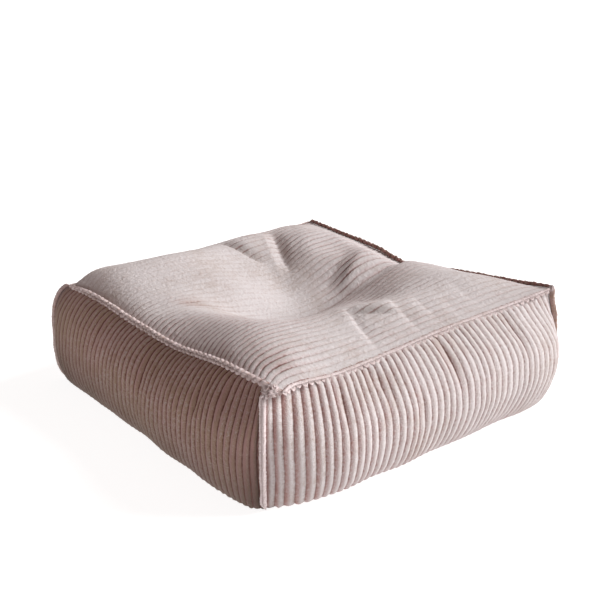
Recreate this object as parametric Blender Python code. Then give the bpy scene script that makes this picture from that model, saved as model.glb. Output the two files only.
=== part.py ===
"""Bean bag footstool: a low square floor pouf of wide-wale corduroy, as it has settled on the floor.

The filled body is one closed solid whose wales are raised in its faces. Every seam is turned
outwards and topstitched, so it stands up as a thin welt along the edge that it closes.
Metres, +Z up. The origin is the centre of the base, +X runs along the front and -Y is the front.
"""

from collections import namedtuple

import bpy
import numpy as np

# Cloth: wales are counted along one side of the square, and each has a crest and a groove.
WALES = 48
WALE_DEPTH = 0.0026
WALE_SHARP_ANGLE = 30

# The body: the share by which the flat of the base lies in from the base seam, and how many
# steps the top panel has along its wales and the flat of the base has along each side.
BASE_TUCK = 0.055
TOP_STEPS = 20
CONTACT_STEPS = 48

# The middle of the whole, as the tables below place it. It is brought onto the origin.
MIDDLE = (-0.0055, -0.0030, 0)

# The top panel's fullness at its middle, and how fast it rises beside the seams.
CROWN = 0.024
CROWN_SHARPNESS = 6.5

# How evenly a top seam's inward curve runs along its side, and how late the corner seams' feet
# leave the corner's own line.
DRAW_IN_SHARPNESS = 2.2
FOOT_SHARPNESS = 3

# The seams' welts: how far one stands out from its seam, and its section as rows of (share of
# that reach, width). The first row is the root, a gap away from the cloth that it is sewn to.
WELT_REACH = 0.0086
GAP = 0.0006
WELT_SECTION = (
    (GAP / WELT_REACH, 0.0008),
    (0.36, 0.0054),
    (0.76, 0.0054),
    (1.00, 0.0027),
)
WELT_SHARP_ANGLE = 50
WELT_TURN_SHARPNESS = 3
CORNER_WELT_TOP = 0.002
BASE_WELT_ANGLE = -95
TOP_WELT_STEPS = 24
CORNER_WELT_STEPS = 12
BASE_WELT_STEPS = 24

CORDUROY_COLOUR = (0.56, 0.45, 0.43)
SEAM_COLOUR = (0.47, 0.36, 0.34)
CLOTH_ROUGHNESS = 0.95

# Where each top corner lies, how high its seam is, how far the corner seam bows out on the
# diagonal, and how far its foot stands out (or, below zero, is drawn in). The last column is
# the angle at which the welts stand up there, from level.
Corner = namedtuple("Corner", "name x y height flare foot welt_angle")
CORNERS = (
    Corner("near", -0.304, -0.298, 0.182, 0.011, -0.008, 25),
    Corner("right", 0.300, -0.297, 0.194, 0.003, -0.001, 40),
    Corner("far", 0.296, 0.304, 0.185, 0.010, -0.004, 50),
    Corner("left", -0.286, 0.288, 0.175, 0.020, 0.001, 60),
)

# Each side panel runs from its corner to the next, seen from above and counter-clockwise.
# draw_in is how far the top seam is pulled in at the middle. bulge and dip are rows of
# (share of the way along, metres): how far the wall stands out, and how far the top seam
# rises or sags from the straight line between its corners.
Side = namedtuple("Side", "name outward draw_in welt_angle bulge dip")
SIDES = (
    Side(
        "front", (0, -1), 0.010, 15,
        (
            (0, 0), (0.03, 0.024), (0.08, 0.038), (0.20, 0.048),
            (0.50, 0.051), (0.80, 0.036), (0.93, 0.015), (1, 0),
        ),
        ((0, 0), (0.07, -0.005), (0.20, -0.013), (0.38, -0.012), (0.56, -0.007), (0.78, -0.005), (1, 0)),
    ),
    Side(
        "right", (1, 0), 0.008, 70,
        ((0, 0), (0.1, 0.026), (0.5, 0.042), (0.9, 0.026), (1, 0)),
        ((0, 0), (0.13, -0.009), (0.33, -0.017), (0.53, -0.029), (0.66, -0.020), (0.80, -0.009), (1, 0)),
    ),
    Side(
        "back", (0, 1), 0.010, 8,
        ((0, 0), (0.1, 0.026), (0.5, 0.042), (0.9, 0.020), (0.97, 0.012), (1, 0)),
        ((0, 0), (0.15, 0.000), (0.38, 0.003), (0.60, 0.001), (0.85, 0), (1, 0)),
    ),
    Side(
        "left", (-1, 0), 0.012, 45,
        (
            (0, 0), (0.03, 0.011), (0.12, 0.017), (0.40, 0.031),
            (0.70, 0.043), (0.88, 0.043), (0.96, 0.034), (1, 0),
        ),
        (
            (0, 0), (0.08, 0.002), (0.20, -0.003), (0.35, -0.011),
            (0.54, -0.016), (0.68, -0.008), (0.80, 0.001), (0.92, 0.004), (1, 0),
        ),
    ),
)

# One section down a wall, from the top seam to the base seam: the share of the drop to the
# floor, the share of the wall's bulge, the share of the corner's flare, and the share by which
# the whole row is drawn in towards the middle. The last row is the base seam, which is pinched
# up into the crease under the wall.
Row = namedtuple("Row", "drop bulge flare inset")
WALL_ROWS = (
    Row(0.000, 0.00, 0.00, 0.000),
    Row(0.055, 0.19, 0.30, 0.000),
    Row(0.155, 0.45, 0.68, 0.000),
    Row(0.290, 0.71, 0.95, 0.000),
    Row(0.450, 0.92, 1.00, 0.000),
    Row(0.620, 1.00, 1.00, 0.000),
    Row(0.790, 0.98, 0.95, 0.000),
    Row(0.915, 0.91, 0.70, 0.000),
    Row(0.982, 0.78, 0.45, 0.000),
    Row(0.938, 0.50, 0.10, 0.035),
)

# Broad swells (above zero) and hollows (below zero) of the top panel, as soft oval mounds.
Swell = namedtuple("Swell", "name x y turn half_length half_width height")
SWELLS = (
    Swell("left lobe", -0.190, 0.215, 0, 0.200, 0.120, 0.027),
    Swell("front left lobe", -0.190, -0.110, 60, 0.130, 0.090, 0.004),
    Swell("front lobe", -0.070, -0.220, 0, 0.150, 0.070, 0.009),
    Swell("front right lobe", 0.170, -0.190, 10, 0.120, 0.080, 0.004),
    Swell("right hump", 0.235, -0.075, 90, 0.060, 0.060, 0.004),
    Swell("far lobe", 0.220, 0.190, 0, 0.110, 0.110, -0.014),
    Swell("hollow", 0.000, 0.025, 10, 0.140, 0.105, -0.045),
    Swell("trough", 0.200, 0.020, 0, 0.130, 0.060, -0.026),
    Swell("back valley", 0.025, 0.215, 78, 0.080, 0.032, -0.013),
    Swell("back crease", 0.095, 0.180, 62, 0.080, 0.022, -0.008),
    Swell("front fold", -0.030, -0.200, -35, 0.045, 0.024, -0.007),
)


def through(rows, place):
    """A smooth curve through the rows (place, value) that never overshoots them, read at place."""
    places, values = np.array(rows, float).T
    steps = np.diff(places)
    slopes = np.diff(values) / steps
    tangents = np.concatenate([slopes[:1], slopes[1:], slopes[-1:]])
    before, after = slopes[:-1], slopes[1:]
    weight_before = 2 * steps[1:] + steps[:-1]
    weight_after = steps[1:] + 2 * steps[:-1]
    same_way = before * after > 0
    safe_before = np.where(same_way, before, 1)
    safe_after = np.where(same_way, after, 1)
    mean = (weight_before + weight_after) / (weight_before / safe_before + weight_after / safe_after)
    tangents[1:-1] = np.where(same_way, mean, 0)
    place = np.clip(place, places[0], places[-1])
    i = np.clip(np.searchsorted(places, place, side="right") - 1, 0, len(steps) - 1)
    s = (place - places[i]) / steps[i]
    return (
        (1 + 2 * s) * (1 - s) ** 2 * values[i]
        + s * (1 - s) ** 2 * steps[i] * tangents[i]
        + s * s * (3 - 2 * s) * values[i + 1]
        + s * s * (s - 1) * steps[i] * tangents[i + 1]
    )


def unit(vectors):
    return vectors / np.linalg.norm(vectors, axis=-1, keepdims=True)


def corner_point(corner):
    return np.array([corner.x, corner.y, corner.height])


def diagonal(corner):
    """The level direction in which the corner points, away from the middle."""
    return np.array([np.sign(corner.x), np.sign(corner.y), 0]) / np.sqrt(2)


def top_seam(side, start, end, along):
    """Points of a side's top seam at the shares along of its length."""
    along = np.asarray(along, float)[..., None]
    line = (1 - along) * corner_point(start) + along * corner_point(end)
    drawn_in = side.draw_in * (1 - np.abs(2 * along - 1) ** DRAW_IN_SHARPNESS)
    line = line - drawn_in * np.array([*side.outward, 0])
    line[..., 2] += through(side.dip, along[..., 0])
    return line


def wall(side, start, end, along, row):
    """Points of a side panel on one row of its section, at the shares along of its length."""
    along = np.asarray(along, float)[..., None]
    points = top_seam(side, start, end, along[..., 0])
    points[..., 2] *= 1 - row.drop
    for corner, share in ((start, 1 - along), (end, along)):
        reach = corner.flare * row.flare + corner.foot * row.drop**FOOT_SHARPNESS
        points = points + share * reach * diagonal(corner)
    points = points + row.bulge * through(side.bulge, along) * np.array([*side.outward, 0])
    return points * (1 - row.inset, 1 - row.inset, 1)


def sides_with_corners():
    for number, side in enumerate(SIDES):
        yield side, CORNERS[number], CORNERS[(number + 1) % len(CORNERS)]


def mound(swell, x, y):
    """An oval swell's height at x and y: its full height times exp(-r squared)."""
    turn = np.radians(swell.turn)
    along = (x - swell.x) * np.cos(turn) + (y - swell.y) * np.sin(turn)
    across = (y - swell.y) * np.cos(turn) - (x - swell.x) * np.sin(turn)
    return swell.height * np.exp(-((along / swell.half_length) ** 2) - (across / swell.half_width) ** 2)


def top_panel(across, deep):
    """The top panel at shares across (along +X) and deep (along +Y), spanned between its four seams."""
    x_share, y_share = np.meshgrid(across, deep, indexing="ij")
    front, right, back, left = (
        top_seam(side, start, end, places)
        for (side, start, end), places in zip(
            sides_with_corners(), (across, deep, 1 - across, 1 - deep)
        )
    )
    near, far_right, far, far_left = map(corner_point, CORNERS)
    s, t = x_share[..., None], y_share[..., None]
    between_seams = (
        (1 - t) * front[:, None] + t * back[:, None] + (1 - s) * left[None] + s * right[None]
    )
    counted_twice = (
        (1 - s) * (1 - t) * near + s * (1 - t) * far_right + s * t * far + (1 - s) * t * far_left
    )
    points = between_seams - counted_twice
    from_seams = (1 - np.abs(2 * x_share - 1) ** CROWN_SHARPNESS) * (
        1 - np.abs(2 * y_share - 1) ** CROWN_SHARPNESS
    )
    swells = sum(mound(swell, points[..., 0], points[..., 1]) for swell in SWELLS)
    points[..., 2] += from_seams * (CROWN + swells)
    return points


def normals(grid):
    """Unit normals of a grid of points: the cross product of its first and second directions."""
    return unit(np.cross(np.gradient(grid, axis=0), np.gradient(grid, axis=1)))


def fade_at_ends(count):
    """1 for the inner places of a row and 0 for its two ends, where a seam holds the cloth flat."""
    shares = np.ones(count)
    shares[[0, -1]] = 0
    return shares


def wall_ring():
    """All four walls as one ring of columns (two to a wale, a groove and a crest) by rows down.

    A wall's normals point inwards in this order, and the top panel's point up.
    """
    columns = 2 * WALES
    along = np.arange(columns + 1) / columns
    grooved = (np.arange(columns + 1) % 2 == 0) * fade_at_ends(columns + 1)
    panels = []
    for side, start, end in sides_with_corners():
        grid = np.stack([wall(side, start, end, along, row) for row in WALL_ROWS], axis=1)
        depth = WALE_DEPTH * grooved[:, None] * fade_at_ends(len(WALL_ROWS))[None]
        grid = grid + depth[..., None] * normals(grid)
        panels.append(grid[:-1])
    return np.concatenate(panels)


def zip_rows(one, other):
    """Triangles between two rows of point numbers that start and end side by side."""
    faces = []
    i = j = 0
    while i < len(one) - 1 or j < len(other) - 1:
        one_is_behind = (i + 1) * (len(other) - 1) <= (j + 1) * (len(one) - 1)
        if j == len(other) - 1 or (i < len(one) - 1 and one_is_behind):
            faces.append((one[i], one[i + 1], other[j]))
            i += 1
        else:
            faces.append((one[i], other[j + 1], other[j]))
            j += 1
    return faces


def quads(grid):
    """Faces of a grid of point numbers."""
    return list(zip(grid[:-1, :-1].flat, grid[1:, :-1].flat, grid[1:, 1:].flat, grid[:-1, 1:].flat))


def make_object(name, points, faces, material, sharp_angle):
    mesh = bpy.data.meshes.new(name)
    centred = np.asarray(points) - MIDDLE
    mesh.from_pydata(centred.tolist(), [], [tuple(map(int, face)) for face in faces])
    mesh.materials.append(material)
    mesh.shade_smooth()
    mesh.set_sharp_from_angle(angle=np.radians(sharp_angle))
    bpy.context.scene.collection.objects.link(bpy.data.objects.new(name, mesh))


def make_material(name, colour, roughness):
    material = bpy.data.materials.new(name)
    material.use_nodes = True
    shader = material.node_tree.nodes["Principled BSDF"]
    shader.inputs["Base Color"].default_value = (*colour, 1)
    shader.inputs["Roughness"].default_value = roughness
    shader.inputs["Metallic"].default_value = 0
    return material


def make_cushion(material):
    """The filled body: four walls, the top panel between their upper seams and the base below."""
    ring = wall_ring()
    count, rows = ring.shape[:2]
    numbers = np.arange(count * rows).reshape(count, rows)
    closed = np.concatenate([numbers, numbers[:1]])
    faces = [face[::-1] for face in quads(closed)]

    # The top: its left and right ends are the walls' own points, one to each crest and groove.
    columns = 2 * WALES
    across = np.arange(TOP_STEPS + 1) / TOP_STEPS
    deep = np.arange(columns + 1) / columns
    top = top_panel(across, deep)
    grooved = (np.arange(columns + 1) % 2 == 0) * fade_at_ends(columns + 1)
    depth = WALE_DEPTH * fade_at_ends(TOP_STEPS + 1)[:, None] * grooved[None]
    top = top - depth[..., None] * normals(top)
    inner = top[1:-1, 1:-1]
    first = count * rows
    inner_numbers = first + np.arange(inner.shape[0] * inner.shape[1]).reshape(inner.shape[:2])
    front, right, back, left = (
        closed[side * columns : (side + 1) * columns + 1, 0] for side in range(len(SIDES))
    )
    grid = np.concatenate([left[::-1][None, 1:-1], inner_numbers, right[None, 1:-1]])
    faces += quads(grid)
    faces += zip_rows(list(front), list(grid[:, 0]))
    faces += [face[::-1] for face in zip_rows(list(back[::-1]), list(grid[:, -1]))]

    # The base: from the seam down to the ring where the flat bottom meets the floor.
    base = closed[:, -1]
    contact = []
    for side, start, end in sides_with_corners():
        along = np.arange(CONTACT_STEPS) / CONTACT_STEPS
        points = wall(side, start, end, along, WALL_ROWS[-1])
        contact.append(points * (1 - BASE_TUCK, 1 - BASE_TUCK, 0))
    contact = np.concatenate(contact)
    contact_first = first + inner_numbers.size
    contact_numbers = list(contact_first + np.arange(len(contact)))
    faces += zip_rows(contact_numbers + contact_numbers[:1], list(base))
    faces.append(contact_numbers[::-1])

    points = np.concatenate([ring.reshape(-1, 3), inner.reshape(-1, 3), contact])
    make_object("cushion", points, faces, material, WALE_SHARP_ANGLE)


def welt_section():
    """The points round a welt's section, as (reach from the seam, offset to one side)."""
    one_side = np.array(WELT_SECTION) * (WELT_REACH, 0.5)
    other_side = one_side[::-1] * (1, -1)
    return np.concatenate([one_side, other_side])


def make_welt(name, line, stand, end_shift, material):
    """A welt swept along line, standing up along stand; end_shift mitres its two end sections."""
    section = welt_section()
    side = unit(np.cross(np.gradient(line, axis=0), stand))
    points = (
        line[:, None]
        + section[None, :, :1] * stand[:, None]
        + section[None, :, 1:] * side[:, None]
    )
    points = points + end_shift(points)
    numbers = np.arange(points.shape[0] * points.shape[1]).reshape(points.shape[:2])
    closed = np.concatenate([numbers, numbers[:, :1]], axis=1)
    faces = quads(closed)
    faces.append(tuple(numbers[0]))
    faces.append(tuple(numbers[-1][::-1]))
    make_object(name, points.reshape(-1, 3), faces, material, WELT_SHARP_ANGLE)


def mitred(side, start, end, line):
    """A shift that brings both ends of a level welt onto the planes halfway round its corners."""
    outward = np.array([*side.outward, 0])
    forward = unit(np.array([end.x - start.x, end.y - start.y, 0.0]))
    forward = unit(forward - forward @ outward * outward)

    def shift(points):
        moved = np.zeros_like(points)
        for place, sign in ((0, -1), (-1, 1)):
            reach = (points[place] - line[place]) @ outward
            ahead = (points[place] - line[place]) @ forward
            moved[place] = (sign * (reach - GAP) - ahead)[:, None] * forward
        return moved

    return shift


def make_level_welts(prefix, material, steps, row, angle_of_side, angle_of_corner):
    for side, start, end in sides_with_corners():
        along = 0.5 - 0.5 * np.cos(np.pi * np.arange(steps + 1) / steps)
        line = wall(side, start, end, along, row)
        middle = 1 - np.abs(2 * along - 1) ** WELT_TURN_SHARPNESS
        at_corner = (1 - along) * angle_of_corner(start) + along * angle_of_corner(end)
        angle = np.radians(at_corner + (angle_of_side(side) - at_corner) * middle)
        outward = np.array([*side.outward, 0])
        stand = np.cos(angle)[:, None] * outward + np.sin(angle)[:, None] * np.array([0, 0, 1])
        make_welt(f"{prefix}_{side.name}", line, stand, mitred(side, start, end, line), material)


def make_corner_welts(material):
    for side, start, _ in sides_with_corners():
        first_drop = CORNER_WELT_TOP / start.height
        drops = np.linspace(first_drop, WALL_ROWS[-2].drop, CORNER_WELT_STEPS + 1)
        flare = through(np.array(WALL_ROWS)[:-1, [0, 2]], drops)
        reach = start.flare * flare + start.foot * drops**FOOT_SHARPNESS
        line = corner_point(start) + reach[:, None] * diagonal(start)
        line[:, 2] *= 1 - drops
        stand = np.tile(diagonal(start), (len(drops), 1))
        make_welt(f"corner_seam_{start.name}", line, stand, np.zeros_like, material)


def main():
    for existing in list(bpy.data.objects):
        bpy.data.objects.remove(existing, do_unlink=True)
    corduroy = make_material("mauve_corduroy", CORDUROY_COLOUR, CLOTH_ROUGHNESS)
    seam_cloth = make_material("mauve_corduroy_seam", SEAM_COLOUR, CLOTH_ROUGHNESS)
    make_cushion(corduroy)
    make_level_welts(
        "top_seam", seam_cloth, TOP_WELT_STEPS, WALL_ROWS[0],
        lambda side: side.welt_angle, lambda corner: corner.welt_angle,
    )
    make_corner_welts(seam_cloth)
    make_level_welts(
        "base_seam", seam_cloth, BASE_WELT_STEPS, WALL_ROWS[-1],
        lambda side: BASE_WELT_ANGLE, lambda corner: BASE_WELT_ANGLE,
    )


main()
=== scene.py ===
"""Bean bag footstool in very wide corduroy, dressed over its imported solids.

Lengths are in metres, +Z is up and -Y is the front.
"""

from collections import namedtuple

import bmesh
import bpy
import numpy as np
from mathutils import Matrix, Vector


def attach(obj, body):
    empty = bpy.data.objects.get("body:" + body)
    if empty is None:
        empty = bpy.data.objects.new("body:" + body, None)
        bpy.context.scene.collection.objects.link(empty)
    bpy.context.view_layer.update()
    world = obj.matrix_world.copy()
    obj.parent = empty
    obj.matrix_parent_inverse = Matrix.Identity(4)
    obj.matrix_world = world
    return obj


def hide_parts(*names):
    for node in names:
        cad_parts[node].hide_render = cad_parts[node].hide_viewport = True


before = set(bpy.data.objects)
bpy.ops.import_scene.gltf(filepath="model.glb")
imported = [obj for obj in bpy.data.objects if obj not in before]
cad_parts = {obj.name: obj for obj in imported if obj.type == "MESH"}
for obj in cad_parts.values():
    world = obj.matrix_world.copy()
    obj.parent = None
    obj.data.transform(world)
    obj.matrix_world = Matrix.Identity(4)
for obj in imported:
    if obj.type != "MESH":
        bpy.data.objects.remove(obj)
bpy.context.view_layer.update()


# ---------------------------------------------------------------------------------------------
# The cushion. Six panels of very wide cotton corduroy, sewn into a square bag and filled with
# beads. The top panel's wales run along +X and the side panels' wales up and down. The filling
# has settled, so the top is hollow in the middle and the sides bulge over the base seam.

WALES = 48
WALE_PITCH = 0.0125
WALE_DEPTH = 0.0028
WALE_ROUNDNESS = 0.9
# The shares of a wale's width at which it is drawn, from one groove to just before the next.
WALE_PLACES = (0.0, 0.16, 0.38, 0.62, 0.84)
# How much flatter the side panels' wales are at the bottom, and from what share of the way down.
LOW_FADE = {"front": 0.1, "right": 0.3, "back": 0.3, "left": 0.5}
LOW_FROM = 0.60
# How unevenly wide the wales are, how far they wander sideways, how lumpy their pile is, how much
# of their depth is left where they are pressed flat, and where they fade into a seam.
WALE_WIDTH_SPREAD = 0.05
WALE_WANDER = 0.0007
PILE_LUMPS = 0.00022
PRESSED_DEPTH = 0.14
SEAM_FADE = 0.006

# What is taken off every place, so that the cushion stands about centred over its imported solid.
MIDDLE = (-0.0055, -0.0030, 0)
# How high the crown is over the seams before the swells and creases.
CROWN = 0.0262
# How sharply the crown rises from each seam of the top panel, at the start and the end of its side.
CROWN_SHARPNESS = {"front": (4.8, 3.7), "right": (7.9, 3.3), "back": (10.2, 11.5), "left": (11.5, 8.6)}
# How far in from the base seam the cushion meets the floor, as a share of the way to the origin.
BASE_TUCK = 0.055
# The steps in which a wall is drawn, and those in which a side's bulge is measured.
WALL_STEPS = 40
BULGE_STEPS = 400

# A corner's flare is how far its seam leans out on the diagonal, taken in later down the wall the
# larger its lateness; its foot is how much farther it has moved that way at the bottom; its fold is
# how far the corner seam is pulled aside just under the top seam.
Corner = namedtuple("Corner", "name x y height flare lateness foot fold")
CORNERS = (
    Corner("near", -0.2891, -0.3105, 0.182, 0.011, 1, 0.003, (-0.0185, 0.0155)),
    Corner("right", 0.297, -0.295, 0.1975, 0.0095, 2.5, -0.009, (0, 0)),
    Corner("far", 0.289, 0.311, 0.185, 0.010, 1, -0.004, (0, 0)),
    Corner("left", -0.276, 0.288, 0.176, 0.0320, -0.3, 0.001, (0, 0)),
)
# The foot comes in with this power of the share of the way down. The fold is complete at this share
# of it, and dies out over this length of a side.
FOOT_SHARPNESS = 3
FOLD_DROP = 0.045
FOLD_LENGTH = 0.032
# How much later down the wall the bulge grows beside a corner, over what share of a side, and as
# far down as what share of the height.
CORNER_LATENESS = 0.9
CORNER_SHARE = 0.16
DEEPEST_BULGE = 0.65

# A side's rows are (share of the way along it, value in metres): how far its top seam is drawn in
# from the straight line between its corners, how far it dips, and how far the panel bulges.
Side = namedtuple("Side", "name outward welt_angles draw_in dip bulge")
SIDES = (
    Side(
        "front", (0, -1), (-35, -35, -30),
        (
            (0, 0), (0.02, 0.0075), (0.045, 0.0130), (0.10, 0.0152), (0.20, 0.0165),
            (0.35, 0.0172), (0.50, 0.0160), (0.80, 0.0090), (0.90, 0.0048), (1, 0),
        ),
        ((0, 0), (0.07, -0.004), (0.20, -0.013), (0.38, -0.012), (0.56, -0.007), (0.78, -0.005), (1, 0)),
        (
            (0, 0), (0.03, 0.028), (0.08, 0.045), (0.20, 0.057),
            (0.50, 0.061), (0.80, 0.055), (0.93, 0.045), (0.98, 0.029), (1, 0),
        ),
    ),
    Side(
        "right", (1, 0), (55, 70, 50),
        ((0, 0), (0.10, 0.0031), (0.25, 0.0063), (0.50, 0.0080), (0.75, 0.0063), (0.90, 0.0031), (1, 0)),
        (
            (0, 0), (0.13, -0.009), (0.33, -0.018), (0.50, -0.033),
            (0.58, -0.027), (0.66, -0.016), (0.80, -0.009), (1, 0),
        ),
        ((0, 0), (0.03, 0.020), (0.1, 0.034), (0.5, 0.050), (0.9, 0.032), (0.97, 0.018), (1, 0)),
    ),
    Side(
        "back", (0, 1), (-30, -30, -30),
        ((0, 0), (0.10, 0.0039), (0.25, 0.0079), (0.50, 0.0100), (0.75, 0.0079), (0.90, 0.0039), (1, 0)),
        ((0, 0), (0.15, -0.001), (0.38, 0.003), (0.60, 0.001), (0.85, 0), (1, 0)),
        ((0, 0), (0.03, 0.018), (0.1, 0.031), (0.5, 0.050), (0.9, 0.024), (0.97, 0.014), (1, 0)),
    ),
    Side(
        "left", (-1, 0), (-15, 22, -45),
        (
            (0, 0), (0.10, 0.0032), (0.25, 0.0057), (0.50, 0.0045),
            (0.70, 0.0000), (0.85, -0.0062), (0.93, -0.0044), (1, 0),
        ),
        (
            (0, 0), (0.08, 0.002), (0.20, -0.003), (0.35, -0.011),
            (0.54, -0.016), (0.68, -0.008), (0.80, 0.001), (0.92, 0.004), (1, 0),
        ),
        (
            (0, 0), (0.03, 0.013), (0.12, 0.023), (0.40, 0.040),
            (0.70, 0.053), (0.88, 0.050), (0.96, 0.036), (1, 0),
        ),
    ),
)

# One section down a wall, from the top seam to the base seam, which is pinched up in a crease.
Row = namedtuple("Row", "drop bulge flare inset")
WALL_ROWS = (
    Row(0.000, 0.00, 0.00, 0.000),
    Row(0.050, 0.23, 0.30, 0.000),
    Row(0.140, 0.49, 0.66, 0.000),
    Row(0.270, 0.76, 0.93, 0.000),
    Row(0.430, 0.95, 1.00, 0.000),
    Row(0.600, 1.00, 1.00, 0.000),
    Row(0.770, 0.93, 0.90, 0.000),
    Row(0.900, 0.81, 0.66, 0.000),
    Row(0.982, 0.59, 0.38, 0.000),
    Row(0.938, 0.30, 0.10, 0.035),
)

# Broad swells (above zero) and hollows (below zero) of the top panel, as soft oval mounds.
Swell = namedtuple("Swell", "name x y turn half_length half_width height")
SWELLS = (
    Swell("dimple", -0.172, 0.064, -20, 0.026, 0.011, -0.0025),
    Swell("left lobe", -0.256, 0.301, -15, 0.267, 0.073, 0.084),
    Swell("front left lobe", -0.187, -0.035, -6, 0.061, 0.133, 0.028),
    Swell("front lobe", -0.025, -0.185, -16, 0.172, 0.038, 0.014),
    Swell("front right lobe", 0.234, -0.221, -29, 0.170, 0.044, 0.017),
    Swell("right hump", 0.194, 0.033, 87, 0.202, 0.077, 0.025),
    Swell("far lobe", 0.193, 0.134, -20, 0.240, 0.045, -0.024),
    Swell("hollow", 0.004, 0.043, 18, 0.192, 0.128, -0.059),
    Swell("trough", 0.206, 0.004, 4, 0.182, 0.036, -0.036),
    Swell("back valley", 0.098, 0.187, 59, 0.110, 0.036, -0.012),
    Swell("right rim", 0.259, -0.004, 27, 0.056, 0.036, 0.038),
    Swell("near slope", -0.200, -0.220, 0, 0.100, 0.060, 0.010),
    Swell("mid front", 0.100, -0.100, -5, 0.100, 0.052, 0.022),
    Swell("far slope", 0.130, 0.150, -1, 0.080, 0.060, 0.029),
    Swell("left middle", -0.060, 0.100, -32, 0.090, 0.060, 0.021),
    Swell("back edge", -0.150, 0.270, 0, 0.144, 0.050, -0.064),
    Swell("far edge", 0.200, 0.270, 4, 0.100, 0.050, 0.012),
    Swell("right slope", 0.240, 0.120, 90, 0.080, 0.036, 0.017),
    Swell("front middle", 0.024, -0.160, 0, 0.080, 0.050, 0.005),
    Swell("front hollow", 0.071, -0.108, -16, 0.083, 0.036, -0.016),
    Swell("wedge hollow", 0.033, -0.143, -17, 0.045, 0.043, -0.011),
)

# Creases of the top panel: each is a soft trough (below zero) or ridge along a line from one point
# to another, with its own half width on the left and on the right of that line.
Crease = namedtuple("Crease", "name x y end_x end_y left_width right_width height")
TOP_CREASES = (
    Crease("left pit", 0.010, 0.245, 0.048, 0.176, 0.018, 0.0040, -0.0090),
    Crease("left ridge", 0.108, 0.236, 0.062, 0.132, 0.010, 0.0160, 0.0042),
    Crease("left valley", 0.131, 0.238, 0.086, 0.134, 0.014, 0.0070, -0.0070),
    Crease("left slope", 0.204, 0.275, 0.100, 0.113, 0.019, 0.0405, -0.0030),
    Crease("centre step", 0.241, 0.085, 0.136, 0.036, 0.034, 0.0095, 0.0050),
    Crease("centre fold", 0.198, 0.099, 0.104, 0.047, 0.013, 0.0204, -0.0041),
    Crease("front step", -0.065, -0.171, 0.023, -0.198, 0.009, 0.0291, 0.0049),
    Crease("first front crease", -0.055, -0.185, -0.088, -0.295, 0.015, 0.0045, -0.0062),
    Crease("second front crease", 0.026, -0.195, 0.005, -0.300, 0.017, 0.0045, -0.0044),
    Crease("third front crease", 0.110, -0.227, 0.099, -0.285, 0.017, 0.0060, -0.0024),
    Crease("wedge", -0.060, -0.184, -0.000, -0.220, 0.014, 0.0035, -0.0060),
    Crease("fourth front crease", 0.068, -0.205, 0.055, -0.295, 0.014, 0.0060, -0.0030),
    Crease("fifth front crease", 0.155, -0.205, 0.150, -0.295, 0.014, 0.0070, -0.0024),
    Crease("front left rim", -0.254, 0.089, -0.152, 0.018, 0.028, 0.0278, -0.0053),
    Crease("first pucker", -0.274, -0.236, -0.226, -0.231, 0.006, 0.0060, -0.0020),
    Crease("second pucker", -0.272, -0.261, -0.234, -0.258, 0.006, 0.0058, -0.0018),
)
# The share of its length over which a crease tapers off at each end, how steeply it falls away from
# its line, how rounded it is there, and what brings that line up to the crease's full height.
CREASE_TAPER = 0.5
CREASE_FALL = 1.2
CREASE_ROUNDING = 0.10
CREASE_PEAK = 0.38

# Where use has pressed the top panel's wales nearly flat, as soft ovals that are flat-topped where
# their amount is over 1.
Patch = namedtuple("Patch", "name x y turn half_length half_width amount")
PRESSED = (
    Patch("left lobe", -0.110, 0.200, -12, 0.180, 0.110, 1.90),
    Patch("front left rim", -0.190, 0.040, -40, 0.110, 0.050, 0.70),
    Patch("hollow", 0.010, 0.060, 10, 0.100, 0.070, 1.00),
    Patch("front lobe", -0.080, -0.210, 10, 0.120, 0.060, 0.85),
    Patch("front right", 0.190, -0.190, 12, 0.150, 0.090, 1.00),
    Patch("front edge", 0.000, -0.292, 0, 0.400, 0.018, 0.80),
    Patch("far slope", 0.240, 0.225, 0, 0.080, 0.070, 0.55),
    Patch("left edge", -0.262, 0.215, 90, 0.100, 0.040, 0.60),
)
# Where the top panel's cloth is darker: partly its pile stroked the dark way, partly painted shade
# in the dimple, the pits, the valleys and the slopes turned from the light.
NAP_AND_SHADE = (
    Patch("dimple", -0.172, 0.064, -20, 0.028, 0.014, 0.50),
    Patch("left pit", 0.036, 0.214, -58, 0.036, 0.012, 0.20),
    Patch("left valley", 0.120, 0.190, 65, 0.050, 0.010, 0.15),
    Patch("near corner", -0.245, -0.250, 10, 0.030, 0.030, 0.25),
    Patch("left edge", -0.262, 0.215, 90, 0.100, 0.030, 0.15),
    Patch("left middle", -0.080, 0.150, 0, 0.100, 0.070, 0.10),
)
# Painted shade: where the whole cloth is darkened, down in the sharpest pits and folds.
SHADED = (
    Patch("left pit", 0.036, 0.220, -62, 0.040, 0.016, 0.42),
    Patch("left valley", 0.130, 0.200, 65, 0.045, 0.009, 0.14),
    Patch("wedge", -0.024, -0.201, -28, 0.034, 0.011, 0.44),
    Patch("centre fold", 0.156, 0.052, 32, 0.036, 0.010, 0.22),
    Patch("near corner", -0.262, -0.250, 10, 0.030, 0.035, 0.12),
)
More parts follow.
